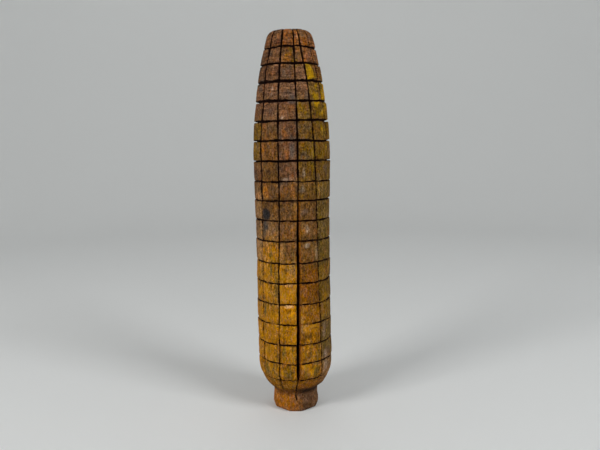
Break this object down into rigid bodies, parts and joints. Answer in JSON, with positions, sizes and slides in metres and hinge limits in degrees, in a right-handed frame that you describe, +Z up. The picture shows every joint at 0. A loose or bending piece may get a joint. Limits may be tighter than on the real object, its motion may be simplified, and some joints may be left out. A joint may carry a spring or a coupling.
{
  "type": "carved corn ear ornament",
  "caption": "Life-size ear of corn carved from one piece of wood, standing on a short stem foot, with saw-cut kernels and worn paint.",
  "frame": {"origin": "centre of the foot's flat underside, which stands on the table", "axes": "+Z up the ear from foot to tip, -Y out of the side with the long drying check, +X to the right seen from that side"},
  "size_m": [0.0501, 0.0501, 0.254],
  "materials": {
    "weathered_wood": "old stained softwood, dry and matt, dark in the saw kerfs and worn paler on the kernels' edges",
    "yellow_paint": "thin old yellow paint, matt, crazed and worn through in places",
    "ochre_paint": "thin old golden ochre paint, matt to faintly satin, streaked along the grain"
  },
  "bodies": {
    "root": {"carved_ear": "weathered_wood", "yellow_paint": "yellow_paint", "ochre_paint": "ochre_paint"}
  },
  "joints": []
}
